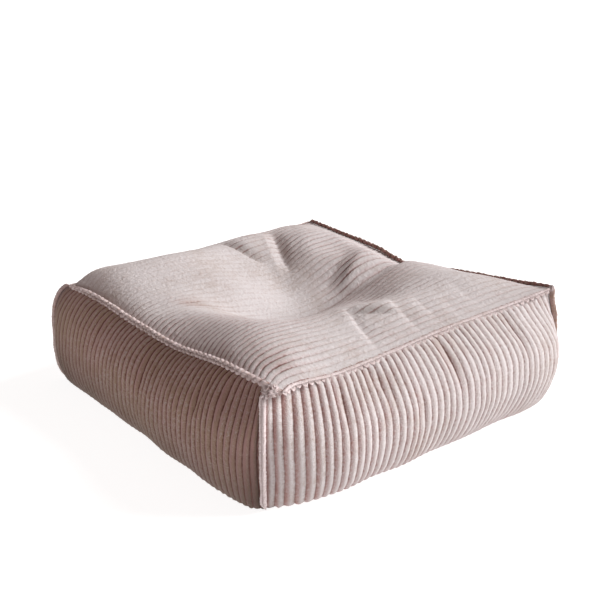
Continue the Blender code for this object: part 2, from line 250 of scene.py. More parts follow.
# Where the dark grooves between the wales show: partly where the wales are spread apart, partly
# as painted shade in the pits, valleys, creases and slopes turned from the light.
SPREAD_AND_SHADE = (
    Patch("left pit", 0.038, 0.220, -62, 0.042, 0.016, 1.00),
    Patch("left valley", 0.134, 0.192, 65, 0.060, 0.016, 0.85),
    Patch("far slope", 0.165, 0.150, 60, 0.070, 0.045, 0.35),
    Patch("centre fold", 0.158, 0.052, 32, 0.050, 0.016, 1.00),
    Patch("wedge", -0.022, -0.200, -28, 0.032, 0.012, 1.00),
    Patch("front hollow", 0.075, -0.150, -32, 0.110, 0.016, 0.55),
    Patch("left slope", -0.255, 0.060, 90, 0.090, 0.030, 0.75),
    Patch("front left slope", -0.245, -0.120, 90, 0.110, 0.050, 0.60),
    Patch("near corner", -0.265, -0.255, 10, 0.030, 0.030, 0.80),
    Patch("first front crease", -0.058, -0.230, -75, 0.045, 0.008, 0.60),
    Patch("dimple", -0.172, 0.064, -20, 0.028, 0.014, 0.45),
    Patch("front middle", 0.060, -0.215, 5, 0.100, 0.030, 0.20),
)
# How much darker each side panel is, partly the dark way of its pile and partly painted shade, most
# on the left panel, which is turned from the light; how flat its wales are pressed; and how much
# darker the first half of each wale looks, partly because its pile leans over to one side and partly
# as painted shade on the wale's flank turned from the light. Each is one amount, or rows of (share
# of the way along the side, amount).
SIDE_NAP_AND_SHADE = {
    "front": 0.06, "right": 0.30, "back": 0.35, "left": ((0, 1.00), (0.35, 0.82), (0.85, 0.85), (1, 1.00)),
}
SIDE_PRESSED = {
    "front": ((0, 0.00), (0.10, 0.12), (0.50, 0.35), (1, 0.50)), "right": 0.20, "back": 0.20,
    "left": ((0, 0.60), (0.12, 0.25), (0.40, 0.05), (1, 0.05)),
}
SIDE_LEAN_AND_SHADE = {
    "front": ((0, 0.72), (0.3, 0.42), (1, 0.26)), "right": 0.30, "back": 0.30,
    "left": ((0, 0.20), (1, 0.30)),
}
# Painted shade on each side panel's cloth: all over, along the side, and how much more towards its
# bottom, from one share of the way down to another.
SIDE_SHADED = {
    "front": 0, "right": 0.1, "back": 0.1,
    "left": ((0, 0.38), (0.10, 0.12), (0.35, 0.02), (0.85, 0.0), (0.95, 0.12), (1, 0.30)),
}
LOW_SHADED = {"front": 0.15, "right": 0.3, "back": 0.3, "left": 0.66}
LOW_SHADED_FROM = 0.35
LOW_SHADED_TO = 0.80
# How far its wales are spread: at the top seam, at the bottom, and the drop between the two.
SIDE_SPREAD = {
    "front": (0.16, 0.05, 0.045),
    "right": (0.50, 0.20, 0.040),
    "back": (0.50, 0.20, 0.040),
    "left": (0.60, 0.15, 0.070),
}
# Painted shadow of the welt just under the top seam: how dark it is, and the drop it fades over.
UNDER_SEAM_PAINTED_SHADOW = 0.50
UNDER_SEAM = 0.0035
# The wales of the top are laid flatter by use than those of the sides: the share of their depth that
# is left, how far they are pressed all over, and how much darker the first half of each is, partly
# from the pile's lean and partly as painted shade. The base is evenly stroked.
TOP_DEPTH = 0.66
TOP_PRESSED = 0.15
TOP_LEAN_AND_SHADE = 0.20
BASE_STROKED = 0.5
# How far the filling pushes the side panels in and out of their even curve, and their wales aside.
# A wave of either is about so many wales wide, and about so many of them go to a metre of wale.
WALL_UNEVENNESS = 0.0012
UNEVEN_WAVES = (11, 6)
WALL_WANDER = 0.0022
WALL_WAVES = (7, 9)
TOP_WAVES = (4, 14)
# The puckers of the side panels, placed by metres along the side and metres down from its seam, and
# how much painted shade they get for each metre of their depth, in darker pile and in dark grooves
# between spread wales.
SIDE_FOLDS = {
    "front": (
        Swell("first fold", 0.110, 0.055, 81, 0.038, 0.008, -0.0035),
        Swell("second fold", 0.187, 0.045, 66, 0.030, 0.008, -0.0025),
        Swell("middle fold", 0.245, 0.105, 85, 0.025, 0.008, -0.0025),
        Swell("third fold", 0.325, 0.060, 84, 0.045, 0.009, -0.0040),
        Swell("fourth fold", 0.476, 0.050, 88, 0.035, 0.009, -0.0030),
    ),
    "right": (Swell("right fold", 0.310, 0.055, 84, 0.045, 0.010, -0.0030),),
    "back": (Swell("back fold", 0.240, 0.055, 95, 0.045, 0.010, -0.0030),),
    "left": (
        Swell("left fold", 0.155, 0.045, 95, 0.035, 0.008, -0.0025),
        Swell("middle fold", 0.300, 0.070, 90, 0.030, 0.009, -0.0030),
        Swell("kink", 0.454, 0.065, 109, 0.035, 0.008, -0.0040),
        Swell("near fold", 0.510, 0.045, 95, 0.030, 0.008, -0.0030),
    ),
}
FOLD_PAINTED_SHADE = 60.0
FOLD_SPREAD_AND_SHADE = 160.0


def through(rows, place):
    """A smooth curve through the rows (place, value) that never overshoots them, read at place. One
    number in place of the rows is the same everywhere."""
    if np.isscalar(rows):
        return np.full_like(place, rows, float)
    places, values = np.array(rows, float).T
    steps = np.diff(places)
    slopes = np.diff(values) / steps
    tangents = np.concatenate([slopes[:1], slopes[1:], slopes[-1:]])
    before, after = slopes[:-1], slopes[1:]
    weight_before = 2 * steps[1:] + steps[:-1]
    weight_after = steps[1:] + 2 * steps[:-1]
    same_way = before * after > 0
    safe_before = np.where(same_way, before, 1)
    safe_after = np.where(same_way, after, 1)
    mean = (weight_before + weight_after) / (weight_before / safe_before + weight_after / safe_after)
    tangents[1:-1] = np.where(same_way, mean, 0)
    place = np.clip(place, places[0], places[-1])
    i = np.clip(np.searchsorted(places, place, side="right") - 1, 0, len(steps) - 1)
    s = (place - places[i]) / steps[i]
    return (
        (1 + 2 * s) * (1 - s) ** 2 * values[i]
        + s * (1 - s) ** 2 * steps[i] * tangents[i]
        + s * s * (3 - 2 * s) * values[i + 1]
        + s * s * (s - 1) * steps[i] * tangents[i + 1]
    )


def unit(vectors):
    """Each vector divided by its length, or left as it is where it has none."""
    length = np.linalg.norm(vectors, axis=-1, keepdims=True)
    return vectors / np.where(length > 0, length, 1)


def corner_point(corner):
    return np.array([corner.x, corner.y, corner.height])


def diagonal(corner):
    """The level direction in which the corner points, away from the middle."""
    return np.array([np.sign(corner.x), np.sign(corner.y), 0]) / np.sqrt(2)


def sides_with_corners():
    for number, side in enumerate(SIDES):
        yield side, CORNERS[number], CORNERS[(number + 1) % len(CORNERS)]


def eased(share):
    """0 below 0, 1 above 1, and 3 s^2 - 2 s^3 between them."""
    share = np.clip(share, 0, 1)
    return share * share * (3 - 2 * share)


RIPPLE_WAVES = 7
RIPPLE_PACES = (0.5, 1.6)
RIPPLE_HEIGHT = 1.4


def ripples(u, v, seed):
    """Smooth unevenness, mostly from -1 to 1: a sum of sine waves across u and v, each turned its
    own way, divided by their usual height."""
    rng = np.random.default_rng(seed)
    total = 0
    for _ in range(RIPPLE_WAVES):
        turn, phase, pace = rng.uniform(0, np.pi), rng.uniform(0, 2 * np.pi), rng.uniform(*RIPPLE_PACES)
        total = total + np.sin(2 * np.pi * pace * (u * np.cos(turn) + v * np.sin(turn)) + phase)
    return total / RIPPLE_WAVES**0.5 / RIPPLE_HEIGHT


def top_seam(side, start, end, along):
    """A side's top seam: the straight line between its corners, drawn in and dipped as its rows say."""
    along = np.asarray(along, float)[..., None]
    line = (1 - along) * corner_point(start) + along * corner_point(end)
    line = line - through(side.draw_in, along) * np.array([*side.outward, 0])
    line[..., 2] += through(side.dip, along[..., 0])
    return line


def leaning_out(corner, drop, flare, flared=1, folded=1):
    """How a corner's seam leans out of the upright, down the rows of the section: out on the
    diagonal by its flare and its foot, and aside by its fold. A place beside the seam goes with it
    by the shares flared and folded."""
    reach = corner.flare * flare ** (1 + corner.lateness) + corner.foot * drop**FOOT_SHARPNESS
    fold = eased(drop / FOLD_DROP) * folded
    return (flared * reach)[..., None] * diagonal(corner) + fold[..., None] * np.array([*corner.fold, 0])


def wall_column(name, place):
    """One column of the wall's section, read at shares of the way from the top seam to the base seam."""
    rows = [(number / (len(WALL_ROWS) - 1), getattr(row, name)) for number, row in enumerate(WALL_ROWS)]
    return through(rows, place)


def evenly(side, start, end, share, bulge):
    """Places along a side at which its wales, evenly wide round the bulge, reach the given shares:
    one column for each of the section's own shares of the bulge."""
    fine = np.linspace(0, 1, BULGE_STEPS + 1)
    steps = np.linalg.norm(np.subtract(corner_point(end), corner_point(start))) / BULGE_STEPS
    rise = np.diff(through(side.bulge, fine))[:, None] * bulge[None]
    travelled = np.concatenate([np.zeros((1, len(bulge))), np.hypot(steps, rise).cumsum(axis=0)])
    columns = [np.interp(share * column[-1], column, fine) for column in travelled.T]
    return np.stack(columns, axis=1)


def wall(side, start, end, share, place):
    """A side panel: its top seam lowered by the section's drop, then pushed out by the corners'
    flare on the diagonals and by the side's own bulge, each as much as the section's row says."""
    drop, bulge, flare, inset = (wall_column(name, place) for name in Row._fields)
    along = evenly(side, start, end, share, bulge)
    points = top_seam(side, start, end, along)
    points[..., 2] *= 1 - drop
    length = np.linalg.norm(corner_point(end) - corner_point(start))
    for corner, away in ((start, along), (end, 1 - along)):
        points = points + leaning_out(corner, drop, flare, 1 - away, np.exp(-away * length / FOLD_LENGTH))
    near_corner = np.clip(1 - np.minimum(along, 1 - along) / CORNER_SHARE, 0, 1)
    later = np.maximum(bulge, 1e-9) ** (1 + CORNER_LATENESS * near_corner * (drop < DEEPEST_BULGE))
    points = points + (later * through(side.bulge, along))[..., None] * np.array([*side.outward, 0])
    points[..., :2] *= (1 - inset)[:, None]
    return points


def oval(form, x, y):
    """1 in the middle of a swell or a patch, falling off around it as exp(-r squared)."""
    turn = np.radians(form.turn)
    along = (x - form.x) * np.cos(turn) + (y - form.y) * np.sin(turn)
    across = (y - form.y) * np.cos(turn) - (x - form.x) * np.sin(turn)
    return np.exp(-((along / form.half_length) ** 2) - (across / form.half_width) ** 2)


def patches(forms, x, y):
    """The amounts of all patches together at x and y, at most 1."""
    return np.clip(sum(form.amount * oval(form, x, y) for form in forms), 0, 1)


def crease_height(crease, x, y):
    """A crease's height at x and y: a ridge with a rounded edge that falls off to both sides as
    exp(peak - fall * sqrt(distance squared + rounding)), and tapers to nothing at both ends."""
    run = np.hypot(crease.end_x - crease.x, crease.end_y - crease.y)
    ahead = np.array([crease.end_x - crease.x, crease.end_y - crease.y]) / run
    along = ((x - crease.x) * ahead[0] + (y - crease.y) * ahead[1]) / run
    left = (y - crease.y) * ahead[0] - (x - crease.x) * ahead[1]
    away = left / np.where(left > 0, crease.left_width, crease.right_width)
    ends = eased(0.5 + along / CREASE_TAPER) * eased(0.5 + (1 - along) / CREASE_TAPER)
    return crease.height * ends * np.exp(CREASE_PEAK - CREASE_FALL * np.sqrt(away**2 + CREASE_ROUNDING))


def wale_rise(count):
    """How far up a wale's rounded crest the cloth is, from 0 in a groove to 1: |sin| to a power."""
    return np.abs(np.sin(np.pi * count)) ** WALE_ROUNDNESS


def wale_counts(places=WALE_PLACES):
    """The places across one panel, counted in wales from 0 to WALES."""
    return np.append((np.arange(WALES)[:, None] + np.array(places)).ravel(), WALES)


def wale_shares(seed, places=WALE_PLACES):
    """Where those places lie as shares of the panel's width, the wales being unevenly wide."""
    rng = np.random.default_rng(seed)
    widths = 1 + WALE_WIDTH_SPREAD * rng.uniform(-1, 1, WALES)
    edges = np.append(0, np.cumsum(widths)) / widths.sum()
    return np.interp(wale_counts(places), np.arange(WALES + 1), edges)


def side_shares(places=WALE_PLACES):
    """The shares of the wales' places along the four sides, in the order of SIDES: opposite sides
    are cut alike, so that the front's wales face the back's and the left's the right's."""
    fronts, deep = wale_shares(2, places), wale_shares(1, places)
    return fronts, deep, 1 - fronts[::-1], 1 - deep[::-1]


def normals(grid):
    """Unit normals of a grid of points: the cross product of its first and second directions."""
    return unit(np.cross(np.gradient(grid, axis=0), np.gradient(grid, axis=1)))


def sharpness(side, along):
    """How sharply the crown rises from a side's seam, changing evenly from its start to its end."""
    start, end = CROWN_SHARPNESS[side]
    return (1 - along) * start + along * end


def crowned(share, first, last):
    """0 at both seams and 1 midway: 1 - |2 share - 1| to the power of the nearer seam's sharpness."""
    return 1 - np.abs(2 * share - 1) ** np.where(share < 0.5, first, last)


def top_panel(across, deep):
    """The top panel at shares across (along +X) and deep (along +Y): the surface spanned between
    its four seams, raised by the crown, the swells and the creases, all of which end at the seams."""
    x_share, y_share = across[:, None], deep[None]
    front, right, back, left = (
        top_seam(side, start, end, places)
        for (side, start, end), places in zip(
            sides_with_corners(), (across, deep, 1 - across, 1 - deep)
        )
    )
    near, far_right, far, far_left = map(corner_point, CORNERS)
    s, t = x_share[..., None], y_share[..., None]
    points = (
        (1 - t) * front[:, None] + t * back[:, None] + (1 - s) * left[None] + s * right[None]
        - (1 - s) * (1 - t) * near - s * (1 - t) * far_right - s * t * far - (1 - s) * t * far_left
    )
    from_seams = (
        crowned(x_share, sharpness("left", 1 - y_share), sharpness("right", y_share))
        * crowned(y_share, sharpness("front", x_share), sharpness("back", 1 - x_share))
    )
    x, y = points[..., 0], points[..., 1]
    raised = CROWN + sum(swell.height * oval(swell, x, y) for swell in SWELLS)
    raised = raised + sum(crease_height(crease, x, y) for crease in TOP_CREASES)
    points[..., 2] += from_seams * raised
    return points


def quads(numbers):
    """The faces of a grid of point numbers, as rows of four."""
    return np.stack(
        [numbers[:-1, :-1], numbers[1:, :-1], numbers[1:, 1:], numbers[:-1, 1:]], axis=-1
    ).reshape(-1, 4)


CLOTH_STATES = ("stroked", "pressed", "lean_and_shade", "spread_and_shade", "shaded")


def new_mesh(name, points, faces, cloth_uv, cloth_state):
    """A mesh of points and a list of face arrays, welded where it meets itself. The cloth_uv map
    holds metres along a wale, and wales counted across it; cloth_state holds for each point how
    much darker its cloth is, partly from the dark way of its pile and partly as painted shade, how
    flat it is pressed, how much darker the first half of each wale is, partly from the pile's lean
    and partly as painted shade, how far the dark grooves show, partly where the wales are spread and
    partly as painted shade, and how much painted shade darkens the whole cloth."""
    mesh = bpy.data.meshes.new(name)
    centred = (np.asarray(points) - MIDDLE).tolist()
    mesh.from_pydata(centred, [], [row for part in faces for row in np.asarray(part).tolist()])
    uv = mesh.uv_layers.new(name="cloth")
    corners = np.empty(len(mesh.loops), int)
    mesh.loops.foreach_get("vertex_index", corners)
    uv.data.foreach_set("uv", np.asarray(cloth_uv, np.float32)[corners].ravel())
    for number, kind in enumerate(CLOTH_STATES):
        values = mesh.attributes.new(kind, "FLOAT", "POINT")
        values.data.foreach_set("value", np.ascontiguousarray(cloth_state[:, number], np.float32))
    welded = bmesh.new()
    welded.from_mesh(mesh)
    bmesh.ops.remove_doubles(welded, verts=welded.verts, dist=1e-6)
    welded.to_mesh(mesh)
    welded.free()
    mesh.shade_smooth()
    made = bpy.data.objects.new(name, mesh)
    bpy.context.scene.collection.objects.link(made)
    return made


def state(stroked, pressed, lean_and_shade, spread_and_shade, shaded, shape):
    """The values of a grid's points in the order of CLOTH_STATES, as one row for each point."""
    given = (stroked, pressed, lean_and_shade, spread_and_shade, shaded)
    return np.stack([np.broadcast_to(values, shape).ravel() for values in given], axis=-1)


def seams_held(run):
    """0 at both ends of each line of a grid and 1 from SEAM_FADE inwards, run being metres along it."""
    return eased(run / SEAM_FADE) * eased((run[..., -1:] - run) / SEAM_FADE)


def run_along(grid, axis):
    """Metres run along each line of a grid of points in one of its two directions, from 0."""
    run = np.linalg.norm(np.diff(grid, axis=axis), axis=-1).cumsum(axis=axis)
    return np.concatenate([np.zeros_like(run.take([0], axis)), run], axis=axis)


# A panel of the cushion: its points, the cloth map and the states that go with them, and whether its
# faces are turned over so that they look outwards.
Panel = namedtuple("Panel", "grid cloth_uv states turned")


def side_panel(number, side, start, end, rng):
    """A side panel, its wales faded out at the seams so that the panels meet in a plain line."""
    counts, place = wale_counts(), np.linspace(0, 1, WALL_STEPS + 1)
    across, share = counts[:, None], counts[:, None] / WALES
    grid = wall(side, start, end, side_shares()[number], place)
    down = run_along(grid, 1)
    held = seams_held(down)
    held[[0, -1]] = 0
    swell = WALL_UNEVENNESS * ripples(across / UNEVEN_WAVES[0], down * UNEVEN_WAVES[1], seed=50 + number)
    aside = WALL_WANDER * held * ripples(across / WALL_WAVES[0], down * WALL_WAVES[1], seed=60 + number)
    folds = sum(fold.height * oval(fold, across * WALE_PITCH, down) for fold in SIDE_FOLDS[side.name])
    lumps = PILE_LUMPS * rng.normal(size=down.shape)
    pressed = through(SIDE_PRESSED[side.name], share)
    low = 1 - LOW_FADE[side.name] * eased((place - LOW_FROM) / (1 - LOW_FROM))
    depth = WALE_DEPTH * (1 - (1 - PRESSED_DEPTH) * pressed) * low
    rise = swell + folds + lumps - depth * (1 - wale_rise(across))
    forward = unit(corner_point(end) - corner_point(start))
    grid = grid - (rise * held)[..., None] * normals(grid) + aside[..., None] * forward

    # The welt's painted shadow just under the top seam, and painted shade down in the puckers.
    under_seam_shadow = UNDER_SEAM_PAINTED_SHADOW * np.exp(-down / UNDER_SEAM)
    stroked = through(SIDE_NAP_AND_SHADE[side.name], share) + under_seam_shadow - FOLD_PAINTED_SHADE * folds
    # Painted shade on the whole cloth, more towards the bottom.
    low = eased((place - LOW_SHADED_FROM) / (LOW_SHADED_TO - LOW_SHADED_FROM))
    shaded = through(SIDE_SHADED[side.name], share) + LOW_SHADED[side.name] * low
    at_top, at_bottom, drop = SIDE_SPREAD[side.name]
    spread_and_shade = at_bottom + (at_top - at_bottom) * np.exp(-((down / drop) ** 2)) - FOLD_SPREAD_AND_SHADE * folds
    lean_and_shade = through(SIDE_LEAN_AND_SHADE[side.name], share)
    cloth_uv = np.stack(np.broadcast_arrays(down, across + (number + 1) * (WALES + 2)), axis=-1)
    return Panel(grid, cloth_uv, state(stroked, pressed, lean_and_shade, spread_and_shade, shaded, down.shape), True)


def top_cloth(rng):
    """The top panel with its wales, whose edges are the side panels' top edges."""
    counts = wale_counts()
    grid = top_panel(*side_shares()[:2])
    from_left = run_along(grid, 0)
    held = seams_held(from_left.T).T
    held[:, [0, -1]] = 0
    stroked, pressed, spread_and_shade, shaded = (
        patches(forms, grid[..., 0], grid[..., 1]) for forms in (NAP_AND_SHADE, PRESSED, SPREAD_AND_SHADE, SHADED)
    )
    pressed = TOP_PRESSED + (1 - TOP_PRESSED) * pressed
    depth = TOP_DEPTH * WALE_DEPTH * (1 - (1 - PRESSED_DEPTH) * pressed)
    grid[..., 1] += WALE_WANDER * held * ripples(from_left * TOP_WAVES[1], counts / TOP_WAVES[0], seed=3)
    lumps = PILE_LUMPS * rng.normal(size=held.shape)
    rise = lumps - depth * (1 - wale_rise(counts))
    grid = grid + (rise * held)[..., None] * normals(grid)
    cloth_uv = np.stack(np.broadcast_arrays(from_left, counts), axis=-1)
    return Panel(grid, cloth_uv, state(stroked, pressed, TOP_LEAN_AND_SHADE, spread_and_shade, shaded, held.shape), False)


def base_rings(side_panels):
    """The base's two rings: the pinched seam under the side panels, and where it meets the floor."""
    seam = np.concatenate([panel.grid[:-1, -1] for panel in side_panels])
    grid = np.stack([seam, seam * (1 - BASE_TUCK, 1 - BASE_TUCK, 0)], axis=1)
    cloth_uv = grid[..., :2] / (1, WALE_PITCH) + (0, -3 * WALES)
    return Panel(grid, cloth_uv, state(BASE_STROKED, 0, 0, 0, 0, grid.shape[:2]), True)


def cushion_mesh():
    """The closed bag: the four walls, the top panel between their seams, and the flat base."""
    rng = np.random.default_rng(8)
    walls = [side_panel(number, *ends, rng) for number, ends in enumerate(sides_with_corners())]
    panels = [*walls, top_cloth(rng), base_rings(walls)]
    faces, first = [], 0
    for panel in panels:
        numbers = first + np.arange(panel.grid[..., 0].size).reshape(panel.grid.shape[:2])
        first += numbers.size
        faces.append(quads(numbers)[:, ::-1] if panel.turned else quads(numbers))
    # The base's rings close on themselves, and the flat of the base lies inside the lower one.
    faces.append(quads(numbers[[-1, 0]])[:, ::-1])
    faces.append(numbers[None, ::-1, 1])
    points, cloth_uv = (
        np.concatenate([rows.reshape(-1, rows.shape[-1]) for rows in kind])
        for kind in ([panel.grid for panel in panels], [panel.cloth_uv for panel in panels])
    )
    states = np.concatenate([panel.states for panel in panels])
    return new_mesh("cushion_cover", points, faces, cloth_uv, states)


cushion = cushion_mesh()


def set_input(tree, socket, value):
    """Links value to the socket if it is a socket itself, and otherwise sets it there."""
    if isinstance(value, bpy.types.NodeSocket):
        tree.links.new(value, socket)
    else:
        socket.default_value = value


def maths(tree, operation, *values, clamp=False):
    """A Math node whose inputs are numbers or sockets; it gives its result's socket."""
    node = tree.nodes.new("ShaderNodeMath")
    node.operation = operation
    node.use_clamp = clamp
    for socket, value in zip(node.inputs, values):
        set_input(tree, socket, value)
    return node.outputs[0]


def mixed(tree, share, one, other):
    """A colour that goes from one to the other as share goes from 0 to 1."""
    node = tree.nodes.new("ShaderNodeMix")
    node.data_type = "RGBA"
    colours = [socket for socket in node.inputs if socket.type == "RGBA"]
    for socket, value in zip([node.inputs["Factor"], *colours], (share, one, other)):
        set_input(tree, socket, value)
    return next(socket for socket in node.outputs if socket.type == "RGBA")


def smooth_step(tree, value, low, high):
    """0 below low and 1 above high, with a smooth change between them."""
    node = tree.nodes.new("ShaderNodeMapRange")
    node.interpolation_type = "SMOOTHSTEP"
    for name, given in (("Value", value), ("From Min", low), ("From Max", high)):
        set_input(tree, node.inputs[name], given)
    return node.outputs["Result"]


def noise(tree, x, y, scale, detail, seed):
    """Noise from -1 to 1 over the cloth, at x and y, which are sockets, scale being its pace."""
    place = tree.nodes.new("ShaderNodeCombineXYZ")
    for socket, value in zip(place.inputs, (x, y, seed)):
        set_input(tree, socket, value)
    node = tree.nodes.new("ShaderNodeTexNoise")
    node.inputs["Scale"].default_value = scale
    node.inputs["Detail"].default_value = detail
    tree.links.new(place.outputs[0], node.inputs["Vector"])
    return maths(tree, "MULTIPLY_ADD", node.outputs["Fac"], 2.0, -1.0)


MM = 1000.0
# Noise over the cloth, as (waves to a millimetre, detail, seed): flecks of pile about 1 mm long, tufts
# of about 3 mm, stretches of single wales, and broad patches.
FLECKS = (0.60, 3, 0.0)
TUFTS = (0.22, 2, 5.0)
STRETCHES = (0.035, 2, 13.0)
BROAD = (0.010, 3, 9.0)
# How far apart two neighbouring wales' stretches are read from that noise, in millimetres.
WALES_APART = 40.0
# Between which shares of the way from a wale's crest to its groove its side and its groove come in,
# and how ragged the tufts make those borders.
SIDE_RANGE = (0.30, 0.95)
GROOVE_RANGE = (0.74, 1.05)
RAGGED = 0.22
# How much the groove's dark colour, painted shade down in the narrow groove, shows where the wales
# are pressed flat, and how much more where they stand, where the cloth is darkened by its pile and by
# painted shade, and where they are spread; how much wider it is there, and how much that differs from
# wale to wale.
GROOVE_PRESSED = 0.06
GROOVE_RAISED = 0.42
GROOVE_NAP_AND_SHADE = 0.50
GROOVE_SPREAD_AND_SHADE = 0.55
SPREAD_WIDTH = 0.12
SPREAD_UNEVENNESS = 0.9
# How far the dark way of the pile shows: on the wales' sides, less so where these are pressed flat,
# and for the tufts and flecks.
SIDE_RAISED = 0.7
SIDE_DARK = 0.25
TUFT_DARK = 0.40
FLECK_DARK = 0.40
# The noise between which patches and the olive tint come in.
PATCH_RANGE = (-0.25, 0.65)
OLIVE_RANGE = (-0.9, 0.35)
# Where across a wale its darker first half, partly its leaning pile and partly painted shade on
# the flank turned from the light, turns to the pale one.
LEAN_AND_SHADE_RANGE = (0.62, 0.25)
LEAN_AND_SHADE_RAGGED = 0.30
# The heights that make the bump.
FLECK_HEIGHT = 0.45
TUFT_HEIGHT = 0.50
GROOVE_HEIGHT = -1.2


def pile_group():
    """Corduroy pile. From the cloth map (metres along the wale, wales counted across) it finds how
    near the groove a place is, ruffles that with noise, and gives the colour and the height."""
    tree = bpy.data.node_groups.new("corduroy_pile", "ShaderNodeTree")
    sockets = (
        ("NodeSocketVector", ("Cloth",)),
        ("NodeSocketColor", ("Tips", "Sides", "Groove", "Olive", "Shade")),
        ("NodeSocketFloat", ("Stroked", "Pressed", "Patchy", "Lean_and_shade", "Spread_and_shade", "Shaded")),
    )
    for kind, names in sockets:
        for name in names:
            tree.interface.new_socket(name=name, in_out="INPUT", socket_type=kind)
    for name, kind in (("Colour", "NodeSocketColor"), ("Height", "NodeSocketFloat")):
        tree.interface.new_socket(name=name, in_out="OUTPUT", socket_type=kind)
    given = tree.nodes.new("NodeGroupInput").outputs
    result = tree.nodes.new("NodeGroupOutput").inputs

    def times(one, other):
        return maths(tree, "MULTIPLY", one, other)

    def times_plus(one, factor, more, clamp=False):
        return maths(tree, "MULTIPLY_ADD", one, factor, more, clamp=clamp)

    split = tree.nodes.new("ShaderNodeSeparateXYZ")
    tree.links.new(given["Cloth"], split.inputs[0])
    wales = split.outputs["Y"]
    along, across = times(split.outputs["X"], MM), times(wales, WALE_PITCH * MM)
    fleck = noise(tree, along, across, *FLECKS)
    tuft = noise(tree, along, across, *TUFTS)
    by_wale = noise(tree, along, times(maths(tree, "FLOOR", wales), WALES_APART), *STRETCHES)
    broad = noise(tree, along, across, *BROAD)

    # The groove's colour, painted shade down in the narrow groove, shows most where the cloth is darkened
    # by its pile's dark way and by painted shade, least where it is pressed.
    in_wale = maths(tree, "FRACT", wales)
    from_crest = times(maths(tree, "ABSOLUTE", maths(tree, "SUBTRACT", in_wale, 0.5)), 2.0)
    ragged = times_plus(tuft, RAGGED, from_crest)
    raised = maths(tree, "SUBTRACT", 1.0, given["Pressed"])
    uneven = times_plus(by_wale, SPREAD_UNEVENNESS, SPREAD_UNEVENNESS)
    spread_and_shade = maths(tree, "MULTIPLY", given["Spread_and_shade"], uneven, clamp=True)
    groove_share = times_plus(raised, GROOVE_RAISED, GROOVE_PRESSED)
    groove_share = times_plus(given["Stroked"], GROOVE_NAP_AND_SHADE, groove_share)
    groove_share = times_plus(spread_and_shade, GROOVE_SPREAD_AND_SHADE, groove_share, clamp=True)
    wider = times_plus(spread_and_shade, SPREAD_WIDTH, ragged)
    in_groove = times(smooth_step(tree, wider, *GROOVE_RANGE), groove_share)
    side_share = times_plus(raised, SIDE_RAISED, 1 - SIDE_RAISED)
    on_side = times(smooth_step(tree, ragged, *SIDE_RANGE), side_share)

    # Patches: broad areas where the pile lies another way, and shorter ones on single wales.
    patch = smooth_step(tree, maths(tree, "ADD", broad, by_wale), *PATCH_RANGE)
    # Darker where the pile lies the dark way, where painted shade lies, and in the random patches.
    darker = times_plus(patch, given["Patchy"], given["Stroked"])
    darker = times_plus(on_side, SIDE_DARK, darker)
    darker = times_plus(tuft, TUFT_DARK, darker)
    darker = times_plus(fleck, FLECK_DARK, darker)
    # Each wale looks pinker and darker on its first half, partly because its pile leans to one side
    # and partly as painted shade on its flank turned from the light.
    lean_and_shade = times(smooth_step(tree, times_plus(tuft, LEAN_AND_SHADE_RAGGED, in_wale), *LEAN_AND_SHADE_RANGE), raised)
    darker = times_plus(lean_and_shade, given["Lean_and_shade"], darker, clamp=True)
    olive = smooth_step(tree, maths(tree, "SUBTRACT", broad, lean_and_shade), *OLIVE_RANGE)
    dark_way = mixed(tree, olive, given["Sides"], given["Olive"])
    # Painted shade darkens the whole cloth towards the shade colour.
    cloth = mixed(tree, given["Shaded"], mixed(tree, darker, given["Tips"], dark_way), given["Shade"])
    # The groove colour is painted shade down in the narrow groove between the wales.
    tree.links.new(mixed(tree, in_groove, cloth, given["Groove"]), result["Colour"])
    height = times_plus(fleck, FLECK_HEIGHT, times(tuft, TUFT_HEIGHT))
    tree.links.new(times_plus(in_groove, GROOVE_HEIGHT, height), result["Height"])
    return tree


PILE = pile_group()


def corduroy(name, patchy, **colours):
    """A corduroy material: the pile group's colour and height on a rough shader with a soft sheen."""
    material = bpy.data.materials.new(name)
    material.use_nodes = True
    tree = material.node_tree
    shader = tree.nodes["Principled BSDF"]
    shader.inputs["Roughness"].default_value = 0.95
    shader.inputs["Specular IOR Level"].default_value = 0.15
    shader.inputs["Sheen Weight"].default_value = 0.24
    shader.inputs["Sheen Roughness"].default_value = 0.5
    shader.inputs["Sheen Tint"].default_value = (1.0, 0.92, 0.90, 1)
    cloth = tree.nodes.new("ShaderNodeUVMap")
    cloth.uv_map = "cloth"
    pile = tree.nodes.new("ShaderNodeGroup")
    pile.node_tree = PILE
    tree.links.new(cloth.outputs["UV"], pile.inputs["Cloth"])
    for kind in CLOTH_STATES:
        held = tree.nodes.new("ShaderNodeAttribute")
        held.attribute_name = kind
        tree.links.new(held.outputs["Fac"], pile.inputs[kind.capitalize()])
    for kind, colour in colours.items():
        pile.inputs[kind.capitalize()].default_value = (*colour, 1)
    pile.inputs["Patchy"].default_value = patchy
    bump = tree.nodes.new("ShaderNodeBump")
    bump.inputs["Strength"].default_value = 0.6
    bump.inputs["Distance"].default_value = 0.0022
    tree.links.new(pile.outputs["Height"], bump.inputs["Height"])
    tree.links.new(pile.outputs["Colour"], shader.inputs["Base Color"])
    tree.links.new(bump.outputs["Normal"], shader.inputs["Normal"])
    return material


# Groove is painted shade down in the narrow grooves; shade is painted shade in pits, folds, low walls.
PANEL_CLOTH = corduroy(
    "mauve_corduroy", patchy=0.22,
    tips=(0.640, 0.590, 0.594), sides=(0.40, 0.235, 0.218), olive=(0.34, 0.23, 0.17),
    groove=(0.16, 0.068, 0.055), shade=(0.070, 0.048, 0.036),
)
cushion.data.materials.append(PANEL_CLOTH)
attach(cushion, "root")
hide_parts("cushion")


